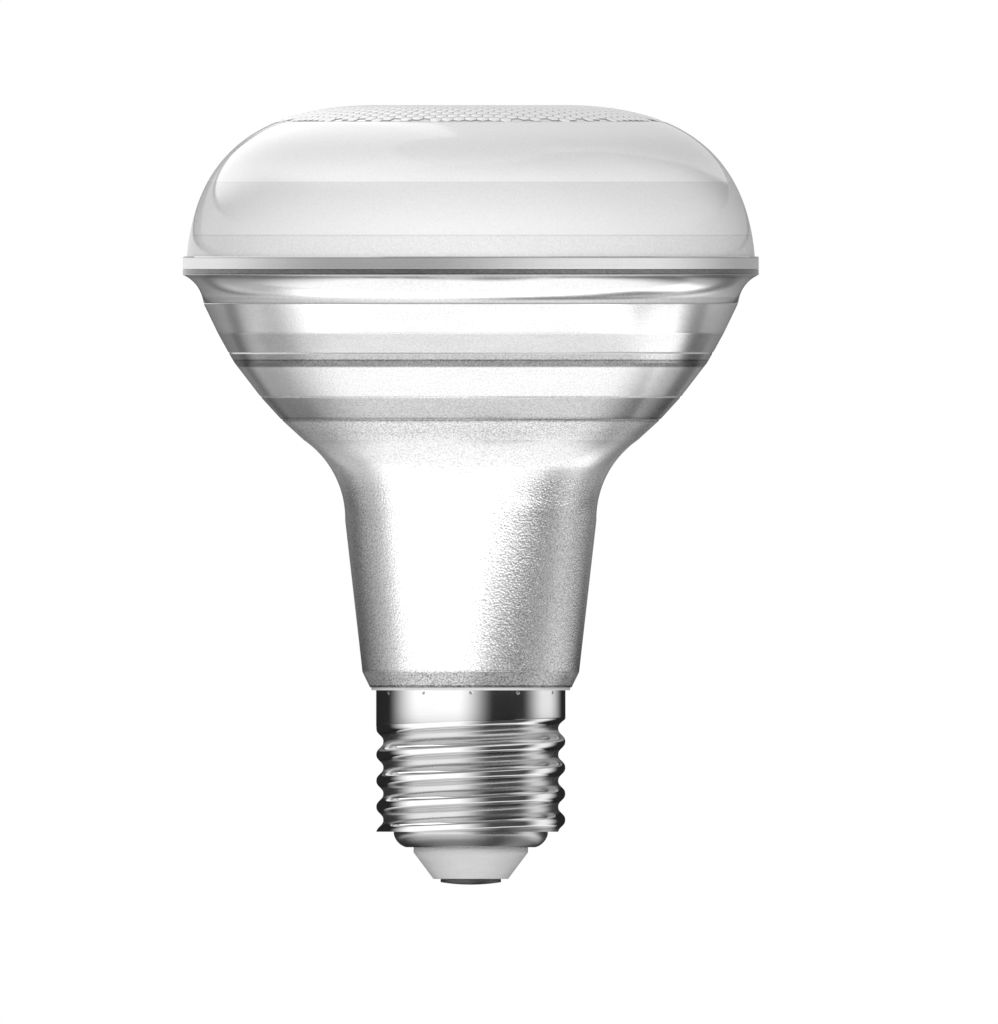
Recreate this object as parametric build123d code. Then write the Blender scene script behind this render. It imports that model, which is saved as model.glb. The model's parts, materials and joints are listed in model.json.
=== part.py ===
"""Reflector lamp with a screw cap.

Millimetres, +Z up, lens at the top. The origin is the lowest point of the
centre contact, on the lamp's axis.
"""
from build123d import *
from math import ceil, cos, radians, sin
import os

os.makedirs("parts", exist_ok=True)

# Clearances
SLIP = 0.05             # between pieces that slide together
COUNTERSINK = 0.2       # spare depth under a screw's tip

# Centre contact and insulator
CONTACT_R = 4.2
CONTACT_EDGE = 0.35     # height of the contact's rim above its tip
CONTACT_TOP = 0.8       # upper face of the contact disc
SHANK_R = 1.25
SHANK_STAND = 0.3       # how far the shank stands out of the insulator
CONE_FOOT_R = 5.2
CONE_EASE = 0.12        # softened edge at the top of the cone
INSULATOR_LIP = 0.8     # how far the insulator reaches over the shell's base
INSULATOR_H = 2.0       # height of the insulator above the shell's base

# Screw shell
PITCH = 3.629           # seven turns to the inch
CUTS_PER_TURN = 6       # level cuts that carry one turn of the thread
CREST_R = 13.125        # outside of the rolled thread
THREAD_DEPTH = 0.97
SKIRT_STAND = 0.025     # how far the smooth band stands over the crests
SHEET = 0.30            # wall
SHELL_BASE = 5.2        # underside of the shell
BOWL_H = 2.15           # from the underside up to the shelf under the thread
BOWL_R = 10.7           # small bowl under the shelf
BOWL_FOOT_R = 9.0
EYE_R = 8.0             # hole in the underside
CREST_RISE = 1.65       # from the shelf up to the first crest at +X
SKIRT_Z = 22.15         # lower edge of the smooth band, at the axis
SKIRT_TILT = 2.2        # slant of that edge, degrees
SKIRT_EASE = 0.40       # softened lower edge
SEAT_Z = 23.4           # step inside the shell, above the thread
CAP_TOP = 27.0          # open edge

# Rim, which the bowl, the ring and the lens share
RIM_R = 40.0
RING_WALL = 1.25
LENS_INSET = 0.55       # from the rim in to the lens
LENS_FOOT_W = 3.7       # from the rim in to the lens's bore
FLANGE_W = 2.6

# Reflector body
COLLAR_T = 0.4          # between the cap's edge and the neck's foot
NECK_FOOT_R = 14.0
NECK_BEVEL_H = 2.14
NECK_EDGE_R = 15.05
NECK_TOP = (17.45, 50.6)
NECK_MID = (18.5, 56.0)
FACET_EDGES = [         # share of the rim's radius, and height
    (0.58, 61.76),
    (0.65625, 64.54),
    (0.72925, 67.74),
    (0.82, 72.46),
    (0.8405, 73.85),
    (0.8785, 76.62),
    (0.92875, 80.80),
]
GROOVED = (1, 2, 4, 6)  # facet edges with a fine groove
GROOVE = 0.12           # depth and half height of a groove
FLARE_H = 4.6           # from the last facet edge to the flange's top
FLANGE_T = 0.7
NECK_WALL = 1.5
BOWL_WALL = 1.9

# Rim ring
RING_H = 1.85
RING_EASE = 0.12

# Front lens
LENS_H = 21.05          # above the ring
LENS_FLAT_R = 13.0
LENS_WALL = 1.6
BAND_LOW = 2.95         # inner steps, above the ring
BAND_HIGH = 10.35
BAND_STEP = 0.6
RIM_STEP = 1.7          # from the foot's bore in to the upper band's edge
LENS_BROW = (12.14, 2.73)   # where the dome's arcs meet, in from the rim and under the top
LENS_CHEEK = (3.73, 10.18)
LENS_CROWN = (12.5, 3.7)    # the same for the ceiling's edges
LENS_TEMPLE = (7.0, 6.6)

# Light board on its heat sink
SINK_Z = 62.5           # underside of the plate
SINK_T = 1.5
SINK_H = 4.4            # whole height, with the rim
PAD_T = 0.3
LED_BOARD_SHARE = 0.5   # of the rim's radius
LED_BOARD_T = 1.5
LED_SIZE = (3.5, 2.8, 0.7)
LED_WINDOW = (2.6, 1.9, 0.1)
LED_COUNTS = (8, 4)     # packages on each ring
LED_STEPS = (4.1, -3.9)  # from the ring of screws to each ring of packages
LED_STARTS = (22.5, 45.0)
SCREW_INSET = 1.75      # from the housing's bore in to the ring of screws
SCREW_ANGLES = (90, 210, 330)
SCREW_R = 1.2
SCREW_LENGTH = 8.0
HEAD_R = 2.2
HEAD_H = 1.4
CROSS = (2.6, 0.5, 0.35)
CONNECTOR = (3.6, 4.0, 2.6)
CONNECTOR_Y = -6.6

# Driver housing and board
FOOT_BORE = 13.4        # bore of the neck's foot
HOUSING_WALL = 1.2
SPIGOT_Z = 12.8
BOARD_T = 1.2
BOARD_FOOT = 14.0
BOARD_H = 40.0
BOARD_GAP = 0.38        # from the board's edges to the housing
SHOULDER_H = 14.6       # where the board widens and rests on the housing
RAIL_T = 1.0
RAIL_W = 2.3
RAIL_ROOT = 0.3         # how far a rail reaches into the housing's wall
BOSS_R = 2.3
BOSS_H = 7.5

# Driver parts, sizes across the board, off it and up it
LEG = 0.5
STAND_OFF = 0.4
LED_LEAD_R = 0.45
LIVE_R = 0.55
NEUTRAL_R = 0.5
LEAD_BEND = 1.0
BULK_R = 4.0
BULK_H = 16.6
OUTPUT_R = 3.15
OUTPUT_H = 11.0
FILM_SIZE = (10.0, 5.5, 8.5)
BRIDGE_SIZE = (4.8, 2.4, 6.4)
CHIP_SIZE = (3.9, 1.5, 4.9)
CHIP_PITCH = 1.27
DIODE_SIZE = (2.6, 2.0, 4.2)
VARISTOR_R = 3.4
VARISTOR_T = 2.2
FUSE_R = 1.3
FUSE_H = 8.0
CORE_SIZE = (12.6, 5.0, 12.0)
CORE_LEG = 2.6
CORE_WINDOW = (3.3, 8.4)
BOBBIN_WALL = 0.5
CHEEK = 9.0
CHEEK_T = 0.7
COIL_SIZE = (8.4, 8.6)

# Places on the driver board, as shares of its lower half width and its height
BULK_AT = (0.0, 0.06)
OUTPUT_AT = (0.665, 0.6125)
FILM_AT = (0.06, 0.1875)
BRIDGE_AT = (-0.41, 0.475)
CHIP_AT = (-0.55, 0.8375)
DIODE_AT = (-0.61, 0.68)
VARISTOR_AT = (0.51, 0.4375)
FUSE_AT = (-0.73, 0.0875)
TRANSFORMER_AT = (0.0, 0.7375)
PAD_RISE = 2.3          # where the mains leads meet the board, above its foot
PAD_DROP = 3.5          # where the other leads meet it, under its top
FUSE_LIFT = 2.4         # from the board to the middle of the fuse resistor

# Heights and radii that follow
SHELL_Z = SHELL_BASE + BOWL_H
ROOT_R = CREST_R - THREAD_DEPTH
SKIRT_R = CREST_R + SKIRT_STAND
SHELL_BORE = ROOT_R - SHEET
SEAT_R = SKIRT_R - SHEET
FLOOR_Z = SHELL_BASE + SHEET
INSULATOR_TOP = FLOOR_Z + INSULATOR_H
SHANK_TOP = INSULATOR_TOP + SHANK_STAND
NECK_FOOT_Z = CAP_TOP + COLLAR_T
RING_BORE = RIM_R - RING_WALL
LENS_FOOT_R = RIM_R - LENS_INSET
LENS_BORE = RIM_R - LENS_FOOT_W
FLANGE_BORE = RIM_R - FLANGE_W
LED_BOARD_R = RIM_R * LED_BOARD_SHARE
BOWL_EDGES = [(share * RIM_R, z) for share, z in FACET_EDGES]
FLANGE_TOP = BOWL_EDGES[-1][1] + FLARE_H
RING_TOP = FLANGE_TOP + RING_H
LENS_TOP = RING_TOP + LENS_H
PAD_Z = SINK_Z + SINK_T
LED_BOARD_Z = PAD_Z + PAD_T
LED_Z = LED_BOARD_Z + LED_BOARD_T
HOUSING_R = FOOT_BORE - SLIP
HOUSING_BORE = HOUSING_R - HOUSING_WALL
SPIGOT_R = SHELL_BORE - SLIP
SPIGOT_BORE = SPIGOT_R - HOUSING_WALL
SCREW_RING = HOUSING_BORE - SCREW_INSET
BOARD_HALF_LOW = SPIGOT_BORE - BOARD_GAP
BOARD_HALF_HIGH = HOUSING_BORE - BOARD_GAP
FACE = BOARD_T / 2
STEP_Z = BOARD_FOOT + SHOULDER_H
BOARD_TOP = BOARD_FOOT + BOARD_H
LEAD_X = LED_LEAD_R + 0.25
LEAD_Y = -(FACE + LED_LEAD_R)
LEAD_HOLE_R = LEAD_X + 2 * LED_LEAD_R


def at(r, z):
    """Point in the half plane that is turned about the axis."""
    return Vector(r, 0, z)


def turned(edges):
    """Solid of revolution from a closed chain of edges."""
    return revolve(Face(Wire(edges)), Axis.Z, 360)


def chain(points):
    """Straight edges through corner points given as radius and height."""
    corners = [at(r, z) for r, z in points]
    return [Line(a, b) for a, b in zip(corners, corners[1:])]


def rounded(points):
    """Arcs through points, each going on smoothly from the last, level at the first."""
    arcs, way = [], (1, 0, 0)
    for a, b in zip(points, points[1:]):
        arcs.append(TangentArc(at(*a), at(*b), tangent=way))
        way = arcs[-1] % 1
    return arcs


def turned_polygon(points):
    """Solid of revolution from the corners of its half section."""
    return turned(chain(points + points[:1]))


def block(size, centre):
    """Box by its three sizes and its centre."""
    return Pos(*centre) * Box(*size)


def rod(r, z0, z1, x=0, y=0):
    """Upright cylinder between two heights."""
    return Pos(x, y, (z0 + z1) / 2) * Cylinder(r, z1 - z0)


def on_circle(radius, angle):
    """Point at an angle in degrees round the axis."""
    return radius * cos(radians(angle)), radius * sin(radians(angle))


def wire_run(points, bend, r):
    """Round wire along straight runs joined by tangent arcs."""
    path = FilletPolyline(*points, radius=bend)
    section = Plane(origin=path @ 0, z_dir=path % 0) * Circle(r)
    return sweep(section, path=path)


# Screw shell

def threaded(r_mid, z0, z1):
    """Single start rounded thread between two heights.

    Every level cut of such a thread is a circle set off from the axis,
    whose centre goes once round for each pitch, so the thread is a loft
    through those circles.
    """
    first_crest = SHELL_Z + CREST_RISE
    offset = (CREST_R - ROOT_R) / 2
    count = ceil((z1 - z0) / PITCH * CUTS_PER_TURN)
    cuts = []
    for k in range(count + 1):
        z = z0 + (z1 - z0) * k / count
        x, y = on_circle(offset, 360 * (z - first_crest) / PITCH)
        cuts.append(Wire.make_circle(r_mid, Plane(origin=(x, y, z))))
    return Solid.make_loft(cuts, ruled=True)


def skirt():
    """Smooth band whose lower edge is slanted and eased."""
    band = rod(SKIRT_R, SKIRT_Z - PITCH, CAP_TOP)
    slant = Pos(0, 0, SKIRT_Z) * Rot(0, -SKIRT_TILT, 0)
    band -= slant * block((4 * SKIRT_R, 4 * SKIRT_R, 3 * PITCH), (0, 0, -1.5 * PITCH))
    return chamfer(band.edges().sort_by(Axis.Z)[0], SKIRT_EASE)


def shell_bowl(inset):
    """Small bowl that closes the shell under its shelf, less an inset."""
    base, top = SHELL_BASE + inset, SHELL_Z + SHEET + inset
    return turned_polygon([
        (0, base),
        (BOWL_FOOT_R - inset / 3, base),
        (BOWL_R - 0.35 * BOWL_H - inset, base + 0.25 * BOWL_H),
        (BOWL_R - 0.15 * BOWL_H - inset, base + 0.5 * BOWL_H),
        (BOWL_R - inset, base + 0.85 * BOWL_H),
        (BOWL_R - inset, top),
        (0, top),
    ])


def screw_shell():
    """Rolled thread shell with its smooth band and rounded base.

    The bore is plain behind the thread, as wide as the thread's root allows.
    """
    outside = threaded((CREST_R + ROOT_R) / 2, SHELL_Z, SKIRT_Z + PITCH / 3)
    outside += skirt()
    outside += shell_bowl(0)
    inside = rod(SHELL_BORE, SHELL_Z + SHEET, CAP_TOP + 1)
    inside += rod(SEAT_R, SEAT_Z, CAP_TOP + 1)
    inside += shell_bowl(SHEET)
    return outside - inside - rod(EYE_R, 0, SHELL_Z)


def cap_insulator():
    """Cone of insulation that carries the centre contact."""
    r = EYE_R - SLIP
    bore = SHANK_R + SLIP
    shoulder = SHELL_BASE - 0.75
    return turned_polygon([
        (bore, CONTACT_TOP),
        (CONE_FOOT_R, CONTACT_TOP),
        (r - CONE_EASE, shoulder - CONE_EASE),
        (r, shoulder + CONE_EASE),
        (r, FLOOR_Z),
        (EYE_R + INSULATOR_LIP, FLOOR_Z),
        (EYE_R + INSULATOR_LIP, INSULATOR_TOP),
        (bore, INSULATOR_TOP),
    ])


def centre_contact():
    """Domed disc with a shank through the insulator."""
    dome = (CONTACT_R**2 + CONTACT_EDGE**2) / (2 * CONTACT_EDGE)
    disc = rod(CONTACT_R, 0, CONTACT_TOP) & Pos(0, 0, dome) * Sphere(dome)
    return disc + rod(SHANK_R, CONTACT_TOP, SHANK_TOP)


# Reflector, ring and lens

def bowl_radius(z, inset=0.0):
    """Outside radius of the faceted bowl at a height, less an inset."""
    for (r0, z0), (r1, z1) in zip(BOWL_EDGES, BOWL_EDGES[1:]):
        if z0 <= z <= z1:
            return r0 + (r1 - r0) * (z - z0) / (z1 - z0) - inset
    raise ValueError("height outside the bowl")


def bowl_line():
    """Outside corners of the bowl from the neck up, with the grooves."""
    points = []
    last = len(BOWL_EDGES) - 1
    for i, (r, z) in enumerate(BOWL_EDGES):
        if i in GROOVED:
            middle = z if i < last else z - GROOVE
            points.append((bowl_radius(middle - GROOVE), middle - GROOVE))
            points.append((bowl_radius(middle) - GROOVE, middle))
            points.append((bowl_radius(middle + GROOVE), middle + GROOVE))
        else:
            points.append((r, z))
    return points


def reflector_body():
    """Neck and faceted bowl in one piece, open at both ends."""
    outer = bowl_line()
    inner = [(r - BOWL_WALL, z) for r, z in reversed(BOWL_EDGES)]
    foot = at(NECK_FOOT_R, NECK_FOOT_Z)
    edge = at(NECK_EDGE_R, NECK_FOOT_Z + NECK_BEVEL_H)
    bore = [(FOOT_BORE, NECK_FOOT_Z + 1.5 * NECK_BEVEL_H), (FOOT_BORE, NECK_FOOT_Z)]
    neck = [(r - NECK_WALL, z) for r, z in (NECK_MID, NECK_TOP)]
    flare = at(outer[-1][0] + 1.15, outer[-1][1] + 0.58 * FLARE_H)
    brim = [(RIM_R, FLANGE_TOP - FLANGE_T), (RIM_R, FLANGE_TOP), (FLANGE_BORE, FLANGE_TOP), inner[0]]
    edges = [Line(foot, edge), Line(edge, at(*NECK_TOP))]
    edges += [ThreePointArc(at(*NECK_TOP), at(*NECK_MID), at(*outer[0]))]
    edges += chain(outer)
    edges += [ThreePointArc(at(*outer[-1]), flare, at(*brim[0]))]
    edges += chain(brim) + chain(inner + neck + bore) + [Line(at(*bore[-1]), foot)]
    return turned(edges)


def rim_ring():
    """Turned metal ring that joins the lens to the bowl."""
    return turned_polygon([
        (RING_BORE, FLANGE_TOP),
        (RIM_R - RING_EASE, FLANGE_TOP),
        (RIM_R, FLANGE_TOP + RING_EASE),
        (RIM_R, RING_TOP - RING_EASE),
        (RIM_R - RING_EASE, RING_TOP),
        (RING_BORE, RING_TOP),
    ])


def front_lens():
    """Domed lens with a flat top, two steps inside and a spigot below."""
    under = LENS_TOP - LENS_WALL
    spigot = RING_BORE - SLIP
    low = RING_TOP + BAND_LOW
    high = RING_TOP + BAND_HIGH
    joins = [(RIM_R - across, LENS_TOP - down) for across, down in (LENS_BROW, LENS_CHEEK)]
    dome = [(LENS_FLAT_R, LENS_TOP)] + joins + [(LENS_FOOT_R, RING_TOP)]
    rim = LENS_BORE - RIM_STEP
    ceiling = [(RIM_R - across, LENS_TOP - down) for across, down in (LENS_TEMPLE, LENS_CROWN)]
    wall = [
        (LENS_FOOT_R, RING_TOP),
        (spigot, RING_TOP),
        (spigot, FLANGE_TOP),
        (LENS_BORE, FLANGE_TOP),
        (LENS_BORE, low),
        (LENS_BORE - BAND_STEP, low),
        (rim + BAND_STEP, high),
        (rim, high),
    ]
    edges = chain([(0, under), (0, LENS_TOP), dome[0]]) + rounded(dome)
    return turned(edges + chain(wall + ceiling + [(LENS_FLAT_R, under), (0, under)]))


# Light board

def screw_places():
    """Places of the board screws round the axis."""
    return [on_circle(SCREW_RING, a) for a in SCREW_ANGLES]


def drilled(solid, z0, z1):
    """Cut the screw holes and the lead hole between two heights."""
    for x, y in screw_places():
        solid -= rod(SCREW_R + SLIP, z0 - 1, z1 + 1, x, y)
    return solid - rod(LEAD_HOLE_R, z0 - 1, z1 + 1, 0, LEAD_Y)


def heat_sink():
    """Pressed dish whose rim lies on the bowl's inner wall."""
    crease = BOWL_EDGES[1]
    gap = BOWL_WALL + SLIP
    rim_z = SINK_Z + SINK_H
    dish = turned_polygon([
        (0, SINK_Z),
        (bowl_radius(SINK_Z, gap), SINK_Z),
        (crease[0] - gap, crease[1]),
        (bowl_radius(rim_z, gap), rim_z),
        (bowl_radius(rim_z, gap + SINK_T), rim_z),
        (crease[0] - gap - 1.1 * SINK_T, crease[1] + 0.2 * SINK_T),
        (LED_BOARD_R + SINK_T, PAD_Z),
        (0, PAD_Z),
    ])
    return drilled(dish, SINK_Z, PAD_Z)


def board_disc(z0, z1):
    """Disc with the screw holes and the lead hole."""
    return drilled(rod(LED_BOARD_R, z0, z1), z0, z1)


def led_package(x, y, angle):
    """Moulded chip carrier with a shallow window of phosphor."""
    top = LED_SIZE[2] / 2
    wide, deep, thick = LED_WINDOW
    body = Box(*LED_SIZE) - block((wide, deep, 4 * thick), (0, 0, top))
    body += block(LED_WINDOW, (0, 0, top - 1.5 * thick))
    return Pos(x, y, LED_Z + top) * Rot(0, 0, angle) * body


def board_screws():
    """Pan head screws through the light board into the housing."""
    wide, narrow, deep = CROSS
    screws = []
    for x, y in screw_places():
        top = LED_Z + HEAD_H
        screw = rod(SCREW_R, LED_Z - SCREW_LENGTH, LED_Z, x, y) + rod(HEAD_R, LED_Z, top, x, y)
        screw -= block((wide, narrow, 2 * deep), (x, y, top))
        screw -= block((narrow, wide, 2 * deep), (x, y, top))
        screws.append(screw)
    return Compound(screws)


def board_connector():
    """Two way push in connector on the light board."""
    tall = CONNECTOR[2]
    body = block(CONNECTOR, (0, CONNECTOR_Y, LED_Z + tall / 2))
    for x in (-LEAD_X, LEAD_X):
        body -= block((LEAD_X, LEAD_X * 2, 0.6 * LEAD_X), (x, CONNECTOR_Y, LED_Z + tall))
    return body


def led_lead(side):
    """Lead from the driver board up through the heat sink."""
    x = LEAD_X * side
    level = LED_Z + CONNECTOR[2] / 2
    end = CONNECTOR_Y + CONNECTOR[1] / 2
    points = [(x, LEAD_Y, BOARD_TOP - PAD_DROP), (x, LEAD_Y, level), (x, end, level)]
    return wire_run(points, LEAD_BEND, LED_LEAD_R)


# Driver

def driver_housing():
    """Moulded sleeve that holds the driver and carries the cap."""
    sleeve = turned_polygon([
        (SPIGOT_BORE, SPIGOT_Z),
        (SPIGOT_R, SPIGOT_Z),
        (SPIGOT_R, SEAT_Z),
        (SEAT_R - SLIP, SEAT_Z),
        (SEAT_R - SLIP, CAP_TOP),
        (NECK_FOOT_R - COLLAR_T / 2, CAP_TOP),
        (NECK_FOOT_R - COLLAR_T / 2, NECK_FOOT_Z),
        (HOUSING_R, NECK_FOOT_Z),
        (HOUSING_R, SINK_Z),
        (HOUSING_BORE, SINK_Z),
        (HOUSING_BORE, STEP_Z),
        (SPIGOT_BORE, STEP_Z),
    ])
    rail_h = BOARD_TOP - STEP_Z
    for side in (-1, 1):
        for face in (-1, 1):
            x = side * (HOUSING_BORE + RAIL_ROOT - RAIL_W / 2)
            y = face * (FACE + SLIP + RAIL_T / 2)
            rail = block((RAIL_W, RAIL_T, rail_h), (x, y, STEP_Z + rail_h / 2))
            sleeve += rail & rod(HOUSING_R, STEP_Z, BOARD_TOP)
    for x, y in screw_places():
        sleeve += rod(BOSS_R, SINK_Z - BOSS_H, SINK_Z, x, y) & rod(HOUSING_R, STEP_Z, SINK_Z)
        sleeve -= rod(SCREW_R + SLIP, LED_Z - SCREW_LENGTH - COUNTERSINK, SINK_Z, x, y)
    return sleeve


def driver_board():
    """Circuit board that stands on edge in the housing's rails."""
    low = block((2 * BOARD_HALF_LOW, BOARD_T, BOARD_H), (0, 0, BOARD_FOOT + BOARD_H / 2))
    tall = BOARD_TOP - STEP_Z
    return low + block((2 * BOARD_HALF_HIGH, BOARD_T, tall), (0, 0, STEP_Z + tall / 2))


def folded_leg(x, y, z, way):
    """Bent leg from the end of a lying component back to the board."""
    side = 1 if y > 0 else -1
    reach = abs(y) - FACE + LEG / 2
    stub = block((LEG, LEG, 1.2), (x, y, z + way * 0.6))
    return stub + block((LEG, reach, LEG), (x, side * (FACE + reach / 2), z + way * 1.15))


def place(share_at):
    """Across and up of a place on the driver board."""
    across, up = share_at
    return across * BOARD_HALF_LOW, BOARD_FOOT + up * BOARD_H


def can_capacitor(share_at, side, r, height):
    """Electrolytic can lying along the board, with two bent legs."""
    x, z0 = place(share_at)
    y = side * (FACE + r + SLIP)
    can = chamfer(rod(r, z0, z0 + height, x, y).edges().group_by(Axis.Z)[-1], 0.1 * r)
    neck = rod(r + 1, z0 + 1.0, z0 + 1.4, x, y) - rod(0.94 * r, z0, z0 + 2, x, y)
    can -= neck
    for dx in (-0.31 * r, 0.31 * r):
        can += folded_leg(x + dx, y, z0, -1)
    return can


def film_capacitor():
    """Boxed mains capacitor with two legs."""
    x, z = place(FILM_AT)
    off = FACE + STAND_OFF + FILM_SIZE[1] / 2
    body = fillet(block(FILM_SIZE, (x, -off, z)).edges().filter_by(Axis.Z), 0.6)
    for dx in (-0.38, 0.38):
        leg_y = -(FACE + STAND_OFF)
        body += block((LEG, 2 * STAND_OFF, LEG), (x + dx * FILM_SIZE[0], leg_y, z))
    return body


def bridge_rectifier():
    """Surface mounted rectifier with four folded legs."""
    x, z = place(BRIDGE_AT)
    wide, thick, tall = BRIDGE_SIZE
    body = block(BRIDGE_SIZE, (x, -(FACE + 0.15 + thick / 2), z))
    for dx in (-0.375 * wide, 0.375 * wide):
        for way in (-1, 1):
            end = z + way * tall / 2
            body += block((0.7, 0.3, 1.1), (x + dx, -(FACE + 0.15), end + way * 0.55))
            body += block((0.7, 1.3, 0.3), (x + dx, -(FACE + 0.65), end + way * 0.15))
    return body


def driver_chip():
    """Eight leg control chip."""
    cx, cz = place(CHIP_AT)
    wide, thick, tall = CHIP_SIZE
    body = block(CHIP_SIZE, (cx, -(FACE + 0.15 + thick / 2), cz))
    for side in (-1, 1):
        for i in range(4):
            x = cx + side * wide / 2
            z = cz + CHIP_PITCH * (i - 1.5)
            body += block((0.6, 0.2, 0.4), (x + side * 0.25, -(FACE + 0.9), z))
            body += block((0.2, 1.0, 0.4), (x + side * 0.55, -(FACE + 0.5), z))
            body += block((0.7, 0.2, 0.4), (x + side * 0.8, -(FACE + 0.1), z))
    return body


def output_diode():
    """Small moulded diode with two folded ends."""
    x, z = place(DIODE_AT)
    wide, thick, tall = DIODE_SIZE
    body = block(DIODE_SIZE, (x, -(FACE + 0.1 + thick / 2), z))
    for way in (-1, 1):
        body += block((0.55 * wide, 1.1, 0.4), (x, -(FACE + 0.55), z + way * (tall / 2 + 0.2)))
    return body


def varistor():
    """Round disc varistor standing off the board on two legs."""
    x, z = place(VARISTOR_AT)
    off = FACE + STAND_OFF + VARISTOR_T / 2
    disc = Pos(x, -off, z) * Rot(90, 0, 0) * Cylinder(VARISTOR_R, VARISTOR_T)
    disc = chamfer(disc.edges().filter_by(GeomType.CIRCLE), 0.5)
    for dx in (-VARISTOR_R / 2, VARISTOR_R / 2):
        disc += block((LEG, 2 * STAND_OFF, LEG), (x + dx, -(FACE + STAND_OFF), z))
    return disc


def fuse_resistor():
    """Wire ended safety resistor beside the mains capacitor."""
    x, z0 = place(FUSE_AT)
    y, z1 = -(FACE + FUSE_LIFT), z0 + FUSE_H
    body = rod(FUSE_R, z0, z1, x, y)
    body += rod(FUSE_R + 0.2, z0, z0 + 1.4, x, y) + rod(FUSE_R + 0.2, z1 - 1.4, z1, x, y)
    return body + folded_leg(x, y, z0, -1) + folded_leg(x, y, z1, 1)


def on_transformer(shape):
    """Shape moved from the origin to the middle of the transformer."""
    x, z = place(TRANSFORMER_AT)
    return Pos(x, FACE + CHEEK / 2, z) * shape


def transformer_core():
    """Ferrite core with two windows and a middle leg."""
    wide, deep, tall = CORE_SIZE
    span, height = CORE_WINDOW
    core = Box(wide, deep, tall)
    for side in (-1, 1):
        core -= block((span, 2 * deep, height), (side * (CORE_LEG + span) / 2, 0, 0))
    return on_transformer(core)


def bobbin_tube(grow):
    """Square tube round the middle leg, grown by a clearance."""
    height = CORE_WINDOW[1] - 2 * SLIP
    wall = 2 * BOBBIN_WALL + 2 * SLIP + 2 * grow
    return Box(CORE_LEG + wall, CORE_SIZE[1] + wall, height)


def transformer_bobbin():
    """Moulded bobbin round the core's middle leg."""
    height = CORE_WINDOW[1] - 2 * SLIP
    bobbin = bobbin_tube(0)
    for side in (-1, 1):
        bobbin += block((CHEEK, CHEEK, CHEEK_T), (0, 0, side * (height - CHEEK_T) / 2))
    bobbin -= Box(CORE_LEG + 2 * SLIP, CORE_SIZE[1] + 2 * SLIP, 2 * height)
    return on_transformer(bobbin)


def transformer_winding():
    """Wound copper between the bobbin's cheeks."""
    height = CORE_WINDOW[1] - 2 * CHEEK_T - 4 * SLIP
    coil = fillet(Box(*COIL_SIZE, height).edges().filter_by(Axis.Z), 1.2)
    return on_transformer(coil - bobbin_tube(SLIP))


def live_lead():
    """Stiff lead from the driver board down to the contact's shank."""
    return rod(LIVE_R, SHANK_TOP, BOARD_FOOT + PAD_RISE, 0, -(FACE + LIVE_R))


def neutral_lead():
    """Lead from the driver board to the inside of the shell."""
    x, y = 0.75 * BOARD_HALF_LOW, -(FACE + NEUTRAL_R)
    z = SPIGOT_Z - 2.4
    end = SHELL_BORE - 0.12
    return wire_run([(x, y, BOARD_FOOT + PAD_RISE), (x, y, z), (end, y, z)], LEAD_BEND, NEUTRAL_R)


def save(name, shape):
    """Write one named piece."""
    export_step(shape, "parts/" + name + ".step")


def save_leds():
    """Write each emitter package in its place on its ring."""
    number = 0
    for count, step, start in zip(LED_COUNTS, LED_STEPS, LED_STARTS):
        for i in range(count):
            number += 1
            angle = start + 360 * i / count
            x, y = on_circle(SCREW_RING + step, angle)
            save("led_%02d" % number, led_package(x, y, angle + 90))


def main():
    """Build and write every piece."""
    save("front_lens", front_lens())
    save("rim_ring", rim_ring())
    save("reflector_body", reflector_body())
    save("screw_shell", screw_shell())
    save("cap_insulator", cap_insulator())
    save("centre_contact", centre_contact())
    save("heat_sink", heat_sink())
    save("thermal_pad", board_disc(PAD_Z, LED_BOARD_Z))
    save("led_board", board_disc(LED_BOARD_Z, LED_Z))
    save_leds()
    save("board_screws", board_screws())
    save("board_connector", board_connector())
    save("led_lead_positive", led_lead(1))
    save("led_lead_negative", led_lead(-1))
    save("driver_housing", driver_housing())
    save("driver_board", driver_board())
    save("bulk_capacitor", can_capacitor(BULK_AT, 1, BULK_R, BULK_H))
    save("output_capacitor", can_capacitor(OUTPUT_AT, -1, OUTPUT_R, OUTPUT_H))
    save("film_capacitor", film_capacitor())
    save("bridge_rectifier", bridge_rectifier())
    save("driver_chip", driver_chip())
    save("output_diode", output_diode())
    save("varistor", varistor())
    save("fuse_resistor", fuse_resistor())
    save("transformer_core", transformer_core())
    save("transformer_bobbin", transformer_bobbin())
    save("transformer_winding", transformer_winding())
    save("live_lead", live_lead())
    save("neutral_lead", neutral_lead())


if __name__ == "__main__":
    main()
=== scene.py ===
"""Looks of a reflector lamp with a screw cap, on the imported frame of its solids."""
import json
from math import pi, radians, sqrt

import bpy
import numpy as np
from bpy.props import FloatProperty, FloatVectorProperty, IntProperty, PointerProperty
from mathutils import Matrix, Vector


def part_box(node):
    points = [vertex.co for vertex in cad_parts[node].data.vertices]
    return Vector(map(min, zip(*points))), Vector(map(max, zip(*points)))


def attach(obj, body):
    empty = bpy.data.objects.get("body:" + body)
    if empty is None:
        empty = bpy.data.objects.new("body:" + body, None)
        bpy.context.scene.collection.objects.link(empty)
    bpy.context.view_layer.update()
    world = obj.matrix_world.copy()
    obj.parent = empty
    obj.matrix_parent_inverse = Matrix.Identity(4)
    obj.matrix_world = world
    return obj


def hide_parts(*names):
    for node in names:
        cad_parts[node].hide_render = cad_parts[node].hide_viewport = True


bl_info = {
    "name": "Reflector Lamp",
    "version": (1, 0, 0),
    "blender": (4, 5, 0),
    "location": "View3D > Sidebar > Lamp",
    "description": "Dresses a reflector lamp: lens, ring, mirror body, cap and driver",
    "category": "Object",
}

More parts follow.
